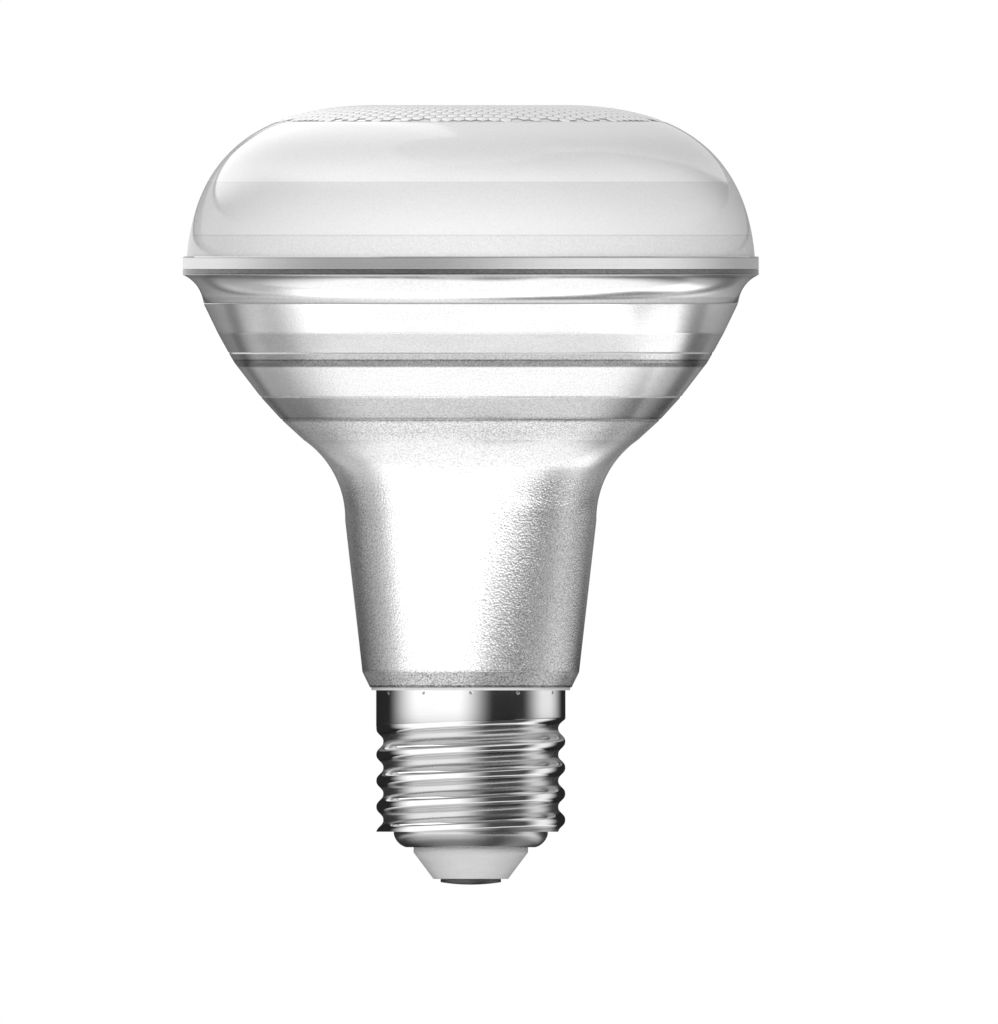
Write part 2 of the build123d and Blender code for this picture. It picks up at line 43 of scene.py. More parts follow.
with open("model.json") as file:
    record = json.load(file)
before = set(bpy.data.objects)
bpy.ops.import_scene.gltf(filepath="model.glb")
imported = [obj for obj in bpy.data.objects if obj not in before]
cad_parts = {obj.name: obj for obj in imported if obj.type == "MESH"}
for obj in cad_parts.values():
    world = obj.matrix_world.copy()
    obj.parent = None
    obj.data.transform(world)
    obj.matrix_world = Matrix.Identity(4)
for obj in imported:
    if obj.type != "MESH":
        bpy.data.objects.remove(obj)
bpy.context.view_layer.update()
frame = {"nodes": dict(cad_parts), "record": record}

MM = 0.001
RIM_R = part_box("rim_ring")[1][0]
RING_Z = (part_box("rim_ring")[0][2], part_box("rim_ring")[1][2])
LENS_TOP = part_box("front_lens")[1][2]
LENS_FOOT_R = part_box("front_lens")[1][0]
BODY_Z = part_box("reflector_body")[0][2]
SHELL_Z = (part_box("screw_shell")[0][2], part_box("screw_shell")[1][2])
SKIRT_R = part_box("screw_shell")[1][0]
CONTACT_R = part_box("centre_contact")[1][0]

# The photograph's size in pixels, its scale, and the lamp's axis and tip in it
PHOTO_SIZE = (998, 1024)
PIXELS_PER_MM = 7.2
AXIS_PIXEL = 470.8
TIP_PIXEL = 884.7


# Settings

class StageSettings(bpy.types.PropertyGroup):
    """Sizes and tones of the studio."""
    floor_radius: FloatProperty(
        name="Floor radius", description="Radius of the pale floor", default=0.6, unit="LENGTH")
    floor_tone: FloatProperty(
        name="Floor tone", description="Grey of the pale floor", default=0.92, min=0, max=1)
    studio_radius: FloatProperty(
        name="Studio radius", description="Radius of the studio that gloss sees", default=0.17, unit="LENGTH")
    studio_height: FloatProperty(
        name="Studio height", description="Height of the studio that gloss sees", default=0.6, unit="LENGTH")
    dark: FloatProperty(
        name="Dark", description="Tone of the studio between its soft boxes", default=0.02, min=0)
    power: FloatProperty(
        name="Lamp power", description="Watts of the soft lamp", default=9.5, min=0)
    fill: FloatProperty(
        name="Fill light", description="Strength of the room's even light", default=0.48, min=0)


class LensSettings(bpy.types.PropertyGroup):
    """Sizes and tones of the lens."""
    flat_radius: FloatProperty(
        name="Flat radius", description="Radius of the flat top", default=13.0 * MM, unit="LENGTH")
    wall: FloatProperty(
        name="Wall", description="Wall of the lens", default=1.6 * MM, unit="LENGTH")
    band_low: FloatProperty(
        name="Lower band", description="Lower inner step above the ring", default=2.95 * MM, unit="LENGTH")
    band_high: FloatProperty(
        name="Upper band", description="Upper inner step above the ring", default=10.35 * MM, unit="LENGTH")
    cell_pitch: FloatProperty(
        name="Cell pitch", description="Width of one lenslet", default=1.63 * MM, unit="LENGTH")
    cell_field: FloatProperty(
        name="Cell field", description="Radius of the field of lenslets", default=26.8 * MM, unit="LENGTH")
    cell_height: FloatProperty(
        name="Cell height", description="Height of a lenslet's crown", default=0.16 * MM, unit="LENGTH")
    tone: FloatVectorProperty(
        name="Tone", description="Colour of the frosted lens", default=(0.86, 0.86, 0.86), size=3,
        subtype="COLOR", min=0, max=1)


class RingSettings(bpy.types.PropertyGroup):
    """Sizes of the turned ring."""
    lines: IntProperty(
        name="Turned lines", description="Number of fine turned lines", default=7, min=0)
    depth: FloatProperty(
        name="Line depth", description="Depth of a turned line", default=0.002 * MM, unit="LENGTH")


class BodySettings(bpy.types.PropertyGroup):
    """Sizes and finish of the mirror body."""
    wall: FloatProperty(
        name="Wall", description="Wall of the body", default=1.9 * MM, unit="LENGTH")
    groove: FloatProperty(
        name="Groove", description="Depth of a facet groove", default=0.12 * MM, unit="LENGTH")
    grain: FloatProperty(
        name="Hammered grain", description="Width of a mark on the neck", default=0.28 * MM, unit="LENGTH")


class CapSettings(bpy.types.PropertyGroup):
    """Sizes of the screw cap."""
    pitch: FloatProperty(
        name="Pitch", description="Thread pitch", default=3.629 * MM, unit="LENGTH")
    crest: FloatProperty(
        name="Crest radius", description="Outside of the thread", default=13.125 * MM, unit="LENGTH")
    root: FloatProperty(
        name="Root radius", description="Bottom of the thread", default=12.155 * MM, unit="LENGTH")
    punches: IntProperty(
        name="Punch marks", description="Punch marks round the top edge", default=12, min=0)


# Shader maths

class Value:
    """A number on its way through a shader; each operator adds a Math node."""

    def __init__(self, maker, socket):
        self.maker = maker
        self.socket = socket

    def math(self, operation, *values):
        node = self.maker.node("ShaderNodeMath", {"operation": operation}, dict(enumerate(values)))
        return Value(self.maker, node.outputs[0])

    def __add__(self, other):
        return self.math("ADD", self, other)

    __radd__ = __add__

    def __sub__(self, other):
        return self.math("SUBTRACT", self, other)

    def __rsub__(self, other):
        return self.math("SUBTRACT", other, self)

    def __mul__(self, other):
        return self.math("MULTIPLY", self, other)

    __rmul__ = __mul__

    def __truediv__(self, other):
        return self.math("DIVIDE", self, other)

    def __rtruediv__(self, other):
        return self.math("DIVIDE", other, self)

    def __neg__(self):
        return self.math("MULTIPLY", self, -1.0)

    def __pow__(self, other):
        return self.math("POWER", self, other)

    def __abs__(self):
        return self.math("ABSOLUTE", self)

    def sine(self):
        return self.math("SINE", self)

    def root(self):
        return self.math("SQRT", self)

    def low(self, other):
        return self.math("MINIMUM", self, other)

    def high(self, other):
        return self.math("MAXIMUM", self, other)

    def wrapped(self, top, bottom):
        return self.math("WRAP", self, top, bottom)

    def rise(self, start, end):
        """0 up to start, 1 from end on, and a soft step between."""
        settings = {"interpolation_type": "SMOOTHSTEP"}
        inputs = {"Value": self, "From Min": start, "From Max": end}
        node = self.maker.node("ShaderNodeMapRange", settings, inputs)
        return Value(self.maker, node.outputs["Result"])

    def line(self, centre, half):
        """1 on a line at centre, falling to 0 at half its width each side."""
        return (1 - abs(self - centre) / half).high(0)


class Maker:
    """Adds nodes to one tree."""

    def __init__(self, tree):
        self.tree = tree

    def node(self, kind, settings, inputs):
        """A node of a type, its settings, and the values or links of its sockets."""
        node = self.tree.nodes.new(kind)
        for key, value in settings.items():
            setattr(node, key, value)
        for key, value in inputs.items():
            self.put(node.inputs[key], value)
        return node

    def put(self, socket, value):
        """Links a value to a socket, or sets the socket."""
        if isinstance(value, Value):
            value = value.socket
        if isinstance(value, bpy.types.NodeSocket):
            self.tree.links.new(value, socket)
        else:
            socket.default_value = value

    def read(self, kind, name, **settings):
        """A number that a node gives out under a name."""
        return Value(self, self.node(kind, settings, {}).outputs[name])


class Finish(Maker):
    """One material: Object coordinates in, one Principled shader out."""

    def __init__(self, name):
        self.material = bpy.data.materials.new(name)
        self.material.use_nodes = True
        super().__init__(self.material.node_tree)
        self.shader = self.tree.nodes["Principled BSDF"]
        self.place = self.node("ShaderNodeTexCoord", {}, {}).outputs["Object"]
        parts = self.node("ShaderNodeSeparateXYZ", {}, {0: self.place}).outputs
        self.x, self.y, self.z = (Value(self, part) for part in parts)

    def radius(self):
        """Distance from the lamp's axis."""
        return (self.x * self.x + self.y * self.y).root()

    def angle(self):
        """Angle round the lamp's axis."""
        return self.x.math("ARCTAN2", self.y, self.x)

    def scaled(self, x, y, z):
        """Object coordinates stretched by a factor along each axis."""
        node = self.node("ShaderNodeVectorMath", {"operation": "MULTIPLY"}, {0: self.place, 1: (x, y, z)})
        return node.outputs[0]

    def noise(self, scale, detail=3.0, rough=0.5, place=None):
        """Even grain from 0 to 1."""
        inputs = {"Vector": place or self.place, "Scale": scale, "Detail": detail, "Roughness": rough}
        return Value(self, self.node("ShaderNodeTexNoise", {}, inputs).outputs[0])

    def mix(self, factor, first, second):
        """Colour that goes from first to second."""
        inputs = {"Factor": factor, 6: first, 7: second}
        return self.node("ShaderNodeMix", {"data_type": "RGBA"}, inputs).outputs[2]

    def bump(self, height, distance, strength=1.0):
        """Normal bent by a height."""
        inputs = {"Height": height, "Distance": distance, "Strength": strength}
        return self.node("ShaderNodeBump", {}, inputs).outputs[0]

    def set(self, **sockets):
        """Sets the shader's sockets by name, with _ for a space."""
        for key, value in sockets.items():
            self.put(self.shader.inputs[key.replace("_", " ")], value)
        return self.material


def grey(tone):
    """Neutral colour of a tone."""
    return (tone, tone, tone, 1.0)


# Surfaces

def smooth(t):
    """Soft step from 0 to 1 as t goes from 0 to 1."""
    t = np.clip(t, 0, 1)
    return t * t * (3 - 2 * t)


def arc(start, end, middle, count):
    """Points of the circle through start, middle and end, ends included.

    The centre is where the bisectors of the two chords cross, and the
    angle runs evenly from start to end by way of the middle.
    """
    a, b, c = (np.array(p, float) for p in (start, middle, end))
    rows = np.array([b - a, c - a]) * 2
    centre = np.linalg.solve(rows, np.array([b @ b - a @ a, c @ c - a @ a]))
    r = np.linalg.norm(a - centre)
    angles = np.unwrap([np.arctan2(p[1] - centre[1], p[0] - centre[0]) for p in (a, b, c)])
    t = np.linspace(angles[0], angles[2], count)
    return np.column_stack([centre[0] + r * np.cos(t), centre[1] + r * np.sin(t)])


def bezier(points, count):
    """Cubic curve of four control points, weighed by Bernstein's terms."""
    t = np.linspace(0, 1, count)[:, None]
    p = np.array(points, float)
    return (1 - t)**3 * p[0] + 3 * (1 - t)**2 * t * p[1] + 3 * (1 - t) * t**2 * p[2] + t**3 * p[3]


def fresh(name, vertices, faces, creases=None):
    """New mesh object, smooth but for the edges inside the creased rows."""
    mesh = bpy.data.meshes.new(name)
    mesh.from_pydata(vertices.tolist(), [], faces)
    mesh.shade_smooth()
    if creases is not None:
        ends = np.empty(len(mesh.edges) * 2, int)
        mesh.edges.foreach_get("vertices", ends)
        row = creases[ends].reshape(-1, 2)
        sharp = (row[:, 0] == row[:, 1]) & (row[:, 0] >= 0)
        attribute = mesh.attributes.get("sharp_edge") or mesh.attributes.new("sharp_edge", "BOOLEAN", "EDGE")
        attribute.data.foreach_set("value", sharp)
    mesh.update()
    piece = bpy.data.objects.new(name, mesh)
    bpy.context.scene.collection.objects.link(piece)
    return piece


def grid_faces(rows, steps, closed_rows):
    """Quads of a grid that is closed round its steps, and also along its rows if asked."""
    i = np.arange(rows if closed_rows else rows - 1)[:, None]
    j = np.arange(steps)[None, :]
    below, above = i * steps, (i + 1) % rows * steps
    quads = np.stack([below + j, below + (j + 1) % steps, above + (j + 1) % steps, above + j], axis=-1)
    return quads.reshape(-1, 4)


def turned(name, stretches, steps=192, radius=None):
    """Surface of revolution from stretches of radius and height.

    Each point goes round the axis as (r cos a, r sin a, z). Stretches meet
    in a crease. An end on the axis is closed with one point, and a profile
    that ends where it began is closed on itself. A profile that would face
    inwards, by the sign of its area, is run the other way. An optional
    function gives r from angle, height and plain r.
    """
    rows, crease = [], []
    for stretch in stretches:
        points = np.array(stretch, float)
        if rows:
            points = points[1:]
        rows.append(points)
        crease += [False] * (len(points) - 1) + [True]
    profile, crease = np.vstack(rows), np.array(crease)
    ahead = np.roll(profile, -1, axis=0)
    if np.sum(profile[:, 0] * ahead[:, 1] - ahead[:, 0] * profile[:, 1]) < 0:
        profile, crease = profile[::-1], crease[::-1]
    looped = np.allclose(profile[0], profile[-1])
    if looped:
        profile, crease = profile[:-1], crease[:-1]
        crease[0] = True
    first, last = (0 if looped or profile[end, 0] > 1e-9 else 1 for end in (0, -1))
    ring = profile[first:len(profile) - last]
    a = np.linspace(0, 2 * pi, steps, endpoint=False)[None, :]
    r, z = ring[:, :1], ring[:, 1:]
    r = r + 0 * a if radius is None else radius(a, z, r)
    vertices = np.stack([r * np.cos(a), r * np.sin(a), z + 0 * a], axis=-1).reshape(-1, 3)
    faces = grid_faces(len(ring), steps, looped).tolist()
    marks = np.where(crease[first:len(profile) - last], np.arange(len(ring)), -1)
    marks = np.repeat(marks, steps)
    j, turn = np.arange(steps), (np.arange(steps) + 1) % steps
    top = (len(ring) - 1) * steps
    if first:
        faces += np.column_stack([turn, j, np.full(steps, len(vertices))]).tolist()
        vertices = np.vstack([vertices, [0, 0, profile[0, 1]]])
    if last:
        faces += np.column_stack([top + j, top + turn, np.full(steps, len(vertices))]).tolist()
        vertices = np.vstack([vertices, [0, 0, profile[-1, 1]]])
    marks = np.append(marks, np.full(len(vertices) - len(marks), -1))
    return fresh(name, vertices, faces, marks)


def dress(piece, material, node):
    """Gives a finished piece its material, its body and the node it stands for."""
    piece.data.materials.clear()
    piece.data.materials.append(material)
    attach(piece, "root")
    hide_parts(node)
    return piece


# Finishes of the pieces in view

def frosted_lens(settings):
    """Frosted milk white lens under a glossy skin, with painted shade graded by height across its inner bands
    and deeper on its foot, and painted dark lines at its inner steps.
    """
    f = Finish("frosted_lens")
    low = RING_Z[1] + settings.band_low
    high = RING_Z[1] + settings.band_high
    grain = f.noise(3400, 2.0, 0.65)
    cloud = f.noise(90, 2.0)
    above = (f.z - high) / (LENS_TOP - high)
    between = (f.z - low) / (high - low)
    foot = 1 - f.z.rise(low - 0.1 * MM, low + 0.1 * MM)
    crown = f.z.rise(high - 0.1 * MM, high + 0.1 * MM)
    # Painted shade: the tone is graded by height within each inner band and is deeper on the foot, standing
    # in for how light falls through the lens.
    painted_band_shade = crown * (0.34 * above.rise(0.0, 0.42) - 0.32 * above.rise(0.45, 0.78))
    painted_band_shade += 0.24 * between.rise(0.0, 1.1) * (1 - crown) * (1 - foot) + 0.13 * foot
    # Painted dark lines at the heights of the inner steps, standing in for the steps seen through the
    # frosting.
    lines = 0.12 * f.z.line(high, 0.15 * MM) + 0.30 * f.z.line(low, 0.16 * MM)
    shade = painted_band_shade + lines + (0.32 + 0.3 * foot) * (grain - 0.5) + 0.05 * (cloud - 0.5) + 0.02
    tone = tuple(settings.tone)
    colour = f.mix(shade.high(0).low(1), (*tone, 1), grey(0.35))
    bump = f.bump(grain, 0.02 * MM, 0.3)
    return f.set(Base_Color=colour, Roughness=0.42 + 0.1 * (grain - 0.5), Normal=bump,
                 Coat_Weight=1.0, Coat_Roughness=0.04, IOR=1.5)


def lenslet_finish():
    """The lens again, clearer, with painted shade in the seams between the lenslets."""
    f = Finish("lenslets")
    grain = f.noise(3400, 2.0, 0.65)
    seam = f.read("ShaderNodeAttribute", "Fac", attribute_name="seam")
    # Painted shade: the seams between the lenslets are darkened in the colour.
    shade = (0.97 * seam + 0.12 * (grain - 0.5)).high(0).low(1)
    colour = f.mix(shade, grey(0.92), grey(0.06))
    return f.set(Base_Color=colour, Roughness=0.38 + 0.1 * (grain - 0.5), Coat_Weight=0.5, Coat_Roughness=0.1)


def turned_ring():
    """Bright ring with lathe lines along its turning, and painted shade along its top edge where the lens
    sits on it.
    """
    f = Finish("turned_ring")
    lines = f.noise(1.0, 3.0, 0.7, f.scaled(25, 25, 9000))
    marks = f.noise(1400, 2.0)
    # Painted shade: a thin band at the top edge, where the lens sits on the ring, is darkened in the colour.
    top = f.z.rise(RING_Z[1] - 0.3 * MM, RING_Z[1] - 0.15 * MM)
    colour = f.mix(0.75 * top, f.mix(lines, grey(0.78), grey(0.92)), grey(0.3))
    bump = f.bump(lines, 0.002 * MM, 0.5)
    return f.set(Base_Color=colour, Metallic=0.95, Roughness=0.10 + 0.06 * (marks - 0.5), Normal=bump)


# Slow swell of the neck and fillet in the bump's height, in millimetres: where each part starts
# above the tip, the slope it adds and half the rate at which that slope grows. It leans the
# shading by up to 20 degrees at the fillet, and is back at no slope where the bowl starts.
SWELL = (
    (29.54, -0.075, 0.003667), (49.72, 0.0, 0.03156), (50.6, 0.0, 0.00144), (51.05, 0.0, -0.062946),
    (53.2, 0.0, -0.014062), (57.6, 0.0, 0.029996), (60.5, 0.0, 0.010345), (61.76, 0.149, 0.0),
    (64.54, 0.211, 0.0))

# Painted reflection bands of the coat, dark where the bowl's facets, the fillet and the bevel show dark
# reflections: lower and upper edge in millimetres, softness and darkness
PAINTED_REFLECTION_BANDS = (
    (64.7, 67.6, 0.3, 0.36), (71.9, 72.9, 0.3, 0.70), (72.8, 73.7, 0.2, 0.42), (74.0, 76.5, 0.15, 0.24),
    (80.8, 81.6, 0.35, 0.22), (84.2, 84.8, 0.4, 0.25), (84.75, 85.5, 0.1, 0.80),
    (26.8, 27.7, 0.1, 0.84), (27.7, 29.5, 0.2, 0.46), (62.0, 64.5, 1.6, 0.20))
# Painted shade lines round the coat at the facet edges and the bevel: height and half width in millimetres,
# and darkness
PAINTED_EDGE_LINES = (
    (64.54, 0.42, 0.55), (67.75, 0.22, 0.2), (73.88, 0.2, 0.2), (76.65, 0.16, 0.15), (80.75, 0.22, 0.3),
    (29.65, 0.25, 0.35))


def mirror_coat(settings):
    """Silver coat: satin mirror with painted reflection bands and painted shade lines on the bowl and bevel,
    and painted glints of the hammered marks on the neck.
    """
    f = Finish("mirror_coat")
    z = f.z / MM
    neck = 1 - z.rise(64.2, 64.8)
    lower = 1 - z.rise(73.2, 74.0)
    fine = f.noise(3600, 2.0, 0.6)
    blows = f.noise(1.0 / settings.grain, 1.0, 0.5)
    # Noise of the painted glints of the hammered marks.
    glint_noise = f.noise(1.15 / settings.grain, 2.0, 0.7, f.scaled(1.0, 1.0, 1.1)).rise(0.30, 0.72)
    cloud = f.noise(1.0, 3.0, 0.6, f.scaled(60, 60, 420))
    swell = sum(slope * (z - start).high(0) + bend * (z - start).high(0) ** 2 for start, slope, bend in SWELL)
    height = 0.029 * neck * blows + 0.004 * (1 - neck) * fine + swell
    # Painted reflection: dark bands in the colour where the bowl, fillet and bevel show dark reflections.
    bands = sum(painted_darkness * z.rise(low - soft / 2, low + soft / 2) * (1 - z.rise(high - soft / 2, high + soft / 2))
                for low, high, soft, painted_darkness in PAINTED_REFLECTION_BANDS)
    # Painted shade: dark lines in the colour along the facet edges and the bevel.
    lines = sum(painted_darkness * z.line(centre, half) for centre, half, painted_darkness in PAINTED_EDGE_LINES)
    # Painted glints: bright and dark specks in the colour on bowl and neck, strongest on the neck; the marks'
    # own relief is the bump.
    painted_glint_speckle = (0.14 + 0.12 * lower + 0.42 * neck) * (glint_noise - 0.5)
    tone = (bands + lines + painted_glint_speckle + 0.2 * (cloud - 0.5) * (1 - neck) + 0.06).high(0).low(1)
    colour = f.mix(tone, grey(0.97), grey(0.08))
    fillet = z.rise(53.0, 60.0) * neck
    rough = 0.17 + 0.04 * neck + 0.06 * (fine - 0.5)
    bevel = 1 - z.rise(29.3, 29.8)
    metal = 0.74 + 0.18 * neck - 0.37 * fillet - 0.5 * bevel
    return f.set(Base_Color=colour, Metallic=metal, Roughness=rough, Normal=f.bump(height, MM, 1.0))


def cap_plating(settings):
    """Bright plating with faint draw lines and the row of darker punch marks; the thread's roots are rougher
    and darker with painted shade, and a painted dark line runs along its flanks.
    """
    f = Finish("cap_plating")
    step = 2 * pi / max(settings.punches, 1)
    along = f.angle().wrapped(step / 2, -step / 2) * SKIRT_R
    up = f.z - (SHELL_Z[1] - 0.34 * MM)
    punch = 1 - (along * along + up * up).root().rise(0.10 * MM, 0.26 * MM)
    draw = f.noise(1.0, 2.0, 0.6, f.scaled(60, 60, 2500))
    smear = f.noise(240, 3.0)
    r = f.radius() / MM
    # Painted shade in the thread's roots, which are also rougher.
    valley = 1 - r.rise(12.25, 12.85)
    # Painted reflection: a dark line along the middle of the thread's flanks.
    flank = r.line(12.68, 0.26)
    punch_and_thread_shade = 0.85 * punch + 0.34 * valley + 0.45 * flank
    tone = (punch_and_thread_shade + 0.10 * (draw - 0.5) + 0.10 * (smear - 0.5)).high(0).low(1)
    colour = f.mix(tone, grey(0.90), grey(0.30))
    bump = f.bump(-punch, 0.10 * MM, 0.6)
    return f.set(Base_Color=colour, Metallic=1.0, Roughness=0.07 + 0.2 * valley + 0.05 * (smear - 0.5),
                 Normal=bump)


def cap_insulation():
    """Pale moulded insulation with a fine matt grain, and painted shade from its shoulder up, under the
    shell.
    """
    f = Finish("cap_insulation")
    grain = f.noise(3000, 3.0)
    flow = f.noise(1.0, 2.0, 0.5, f.scaled(300, 300, 900))
    # Painted shade: darker from the shoulder up, where the insulation goes in under the shell.
    edge = f.z.rise(4.2 * MM, 4.7 * MM)
    tone = (0.3 + 0.5 * (grain - 0.5) + 0.4 * (flow - 0.5) + 0.8 * edge).high(0).low(1)
    colour = f.mix(tone, grey(0.86), grey(0.62))
    return f.set(Base_Color=colour, Roughness=0.5 + 0.2 * (grain - 0.5), Normal=f.bump(grain, 0.02 * MM, 0.4))


def contact_metal():
    """Dull grey contact with turning rings and small scuffs."""
    f = Finish("contact_metal")
    rings = (f.radius() * (2 * pi / (0.32 * MM))).sine() * 0.5 + 0.5
    scuffs = f.noise(1800, 3.0, 0.7)
    colour = f.mix((0.4 * rings + 0.6 * scuffs).low(1), grey(0.10), grey(0.20))
    bump = f.bump(rings + scuffs, 0.01 * MM, 0.5)
    return f.set(Base_Color=colour, Metallic=0.6, Roughness=0.45 + 0.2 * (scuffs - 0.5), Normal=bump)


# Finishes of the pieces inside

def moulded(name, tone, rough=0.45, grain=2500):
    """Moulded plastic with a fine skin and a slight drift of colour."""
    f = Finish(name)
    skin = f.noise(grain, 3.0)
    drift = f.noise(70, 2.0)
    dark = tuple(0.82 * c for c in tone)
    colour = f.mix((0.5 * skin + 0.5 * drift).low(1), (*dark, 1), (*tone, 1))
    bump = f.bump(skin, 0.02 * MM, 0.4)
    return f.set(Base_Color=colour, Roughness=rough + 0.15 * (skin - 0.5), Normal=bump)


def worked_metal(name, tone, rough=0.35, stretch=(60, 60, 2500)):
    """Metal with lines along its working and a few dull patches."""
    f = Finish(name)
    lines = f.noise(1.0, 3.0, 0.65, f.scaled(*stretch))
    patch = f.noise(160, 3.0)
    dark = tuple(0.7 * c for c in tone)
    colour = f.mix((0.6 * lines + 0.4 * patch).low(1), (*dark, 1), (*tone, 1))
    bump = f.bump(lines, 0.02 * MM, 0.5)
    return f.set(Base_Color=colour, Metallic=1.0, Roughness=rough + 0.2 * (patch - 0.5), Normal=bump)


def laminate(name, tone):
    """Circuit laminate under its resist, with the weave and copper tracks showing."""
    f = Finish(name)
    weave = (f.x * (2 * pi / (0.5 * MM))).sine() * (f.z * (2 * pi / (0.5 * MM))).sine()
    track = f.noise(260, 1.0).rise(0.50, 0.52) * (1 - f.noise(260, 1.0).rise(0.56, 0.58))
    dark = tuple(0.7 * c for c in tone)
    light = tuple(min(1.0, 1.35 * c + 0.03) for c in tone)
    base = f.mix((0.5 + 0.25 * weave).low(1), (*dark, 1), (*tone, 1))
    colour = f.mix(track, base, (*light, 1))
    bump = f.bump(track + 0.1 * weave, 0.03 * MM, 0.6)
    return f.set(Base_Color=colour, Roughness=0.35 + 0.1 * track, Normal=bump)


def led_carrier():
    """White chip carrier with a yellow phosphor window on its upper face."""
    f = Finish("led_carrier")
    grain = f.noise(4000, 2.0)
    lit = f.node("ShaderNodeNewGeometry", {}, {}).outputs["Normal"]
    up = Value(f, f.node("ShaderNodeSeparateXYZ", {}, {0: lit}).outputs[2]).rise(0.5, 0.9)
    tone = (0.75 * up + 0.2 * (grain - 0.5)).high(0).low(1)
    colour = f.mix(tone, (0.85, 0.84, 0.80, 1), (0.80, 0.62, 0.10, 1))
    return f.set(Base_Color=colour, Roughness=0.4 + 0.1 * (grain - 0.5), Coat_Weight=0.3)


def wound_copper():
    """Lacquered winding whose turns lie side by side."""
    f = Finish("winding_copper")
    turns = (f.z * (2 * pi / (0.22 * MM))).sine() * 0.5 + 0.5
    drift = f.noise(300, 2.0)
    colour = f.mix((0.7 * turns + 0.3 * drift).low(1), (0.28, 0.10, 0.04, 1), (0.66, 0.30, 0.12, 1))
    bump = f.bump(turns, 0.05 * MM, 0.8)
    return f.set(Base_Color=colour, Metallic=0.8, Roughness=0.35 + 0.1 * drift, Normal=bump)


# Shapes of the pieces in view

def lens_dome(settings, count=72):
    """Outside of the lens from the flat's edge to its foot: one cubic curve."""
    height = LENS_TOP - RING_Z[1]
    control = [
        (settings.flat_radius, LENS_TOP),
        (settings.flat_radius + 15.5 * MM, LENS_TOP),
        (LENS_FOOT_R - 1.26 * MM, LENS_TOP - 0.29 * height),
        (LENS_FOOT_R, RING_Z[1]),
    ]
    return bezier(control, count)


def lens_shape(settings):
    """The lens as one closed turned shell, its top sunk a little under the lenslets."""
    sunk = 1.4 * settings.cell_height
    dome = lens_dome(settings)
    field = settings.cell_field
    drop = sunk * np.clip((field - dome[:, 0]) / (0.3 * MM), 0, 1)
    dome[:, 1] -= drop
    top = LENS_TOP - sunk
    under = LENS_TOP - settings.wall
    spigot = LENS_FOOT_R - 0.75 * MM
    bore = 36.3 * MM
    low = RING_Z[1] + settings.band_low
    high = RING_Z[1] + settings.band_high
    rim = bore - 1.7 * MM
    ceiling = bezier([
        (rim, high),
        (rim - 2.2 * MM, high + 0.61 * (LENS_TOP - high)),
        (settings.flat_radius + 12 * MM, under),
        (settings.flat_radius, under),
    ], 24)
    step = 0.6 * MM
    wall = [(spigot, RING_Z[1]), (spigot, RING_Z[0]), (bore, RING_Z[0]), (bore, low), (bore - step, low),
            (rim + step, high), (rim, high)]
    corners = [[(LENS_FOOT_R, RING_Z[1]), wall[0]]] + [list(pair) for pair in zip(wall, wall[1:])]
    flat = np.column_stack([np.linspace(0, settings.flat_radius, 8), np.full(8, top)])
    outside = np.vstack([flat, dome[1:]])
    inside = np.vstack([ceiling, [(0, under)]])
    return [outside] + corners + [inside]


def lenslets(settings):
    """Field of small hexagonal pillows that follow the dome.

    The centres are a triangular lattice with straight rows along X. Each
    cell is a centre point and three hexagons inside each other; the height
    over the dome falls as 1 - t squared from the crown to the seam.
    """
    pitch = settings.cell_pitch
    row_pitch = pitch * sqrt(3) / 2
    reach = int(settings.cell_field / row_pitch) + 2
    i, j = np.meshgrid(np.arange(-reach, reach + 1), np.arange(-reach, reach + 1))
    centres = np.column_stack([((i + 0.5 * (j % 2)) * pitch).ravel(), (j * row_pitch).ravel()])
    corner_r = pitch / sqrt(3)
    centres = centres[np.hypot(centres[:, 0], centres[:, 1]) < settings.cell_field - 0.35 * pitch]
    levels = np.array([0.45, 0.78, 0.91, 1.0])
    # How deep the painted seam shade is at each hexagon, from none at the crown to full at the seam.
    seams = np.array([0.0, 0.0, 0.3, 1.0])
    spokes = np.radians(30 + 60 * np.arange(6))
    ring = np.stack([np.cos(spokes), np.sin(spokes)], axis=-1)
    offsets = np.vstack([[[0, 0]], (levels[:, None, None] * ring[None]).reshape(-1, 2)]) * corner_r
    depth = np.concatenate([[0.0], np.repeat(levels, 6)])
    xy = centres[:, None, :] + offsets[None]
    dome = lens_dome(settings, 200)
    r = np.hypot(xy[..., 0], xy[..., 1])
    z = np.interp(r, dome[:, 0], dome[:, 1])
    crown = settings.cell_height * (1 - depth**2) - settings.cell_height
    z = z + crown[None]
    vertices = np.concatenate([xy, z[..., None]], axis=-1).reshape(-1, 3)
    k = np.arange(6)
    fan = [[0, 1 + a, 1 + (a + 1) % 6] for a in k]
    bands = []
    for level in range(len(levels) - 1):
        lo, hi = 1 + 6 * level, 7 + 6 * level
        bands += [[lo + a, hi + a, hi + (a + 1) % 6, lo + (a + 1) % 6] for a in k]
    size = len(offsets)
    starts = np.arange(len(centres)) * size
    faces = (np.array(fan)[None] + starts[:, None, None]).reshape(-1, 3).tolist()
    faces += (np.array(bands)[None] + starts[:, None, None]).reshape(-1, 4).tolist()
    piece = fresh("lenslets", vertices, faces)
    seam = piece.data.attributes.new("seam", "FLOAT", "POINT")
    weights = np.tile(np.concatenate([[0.0], np.repeat(seams, 6)]), len(centres))
    seam.data.foreach_set("value", weights.astype(np.float32))
    return piece


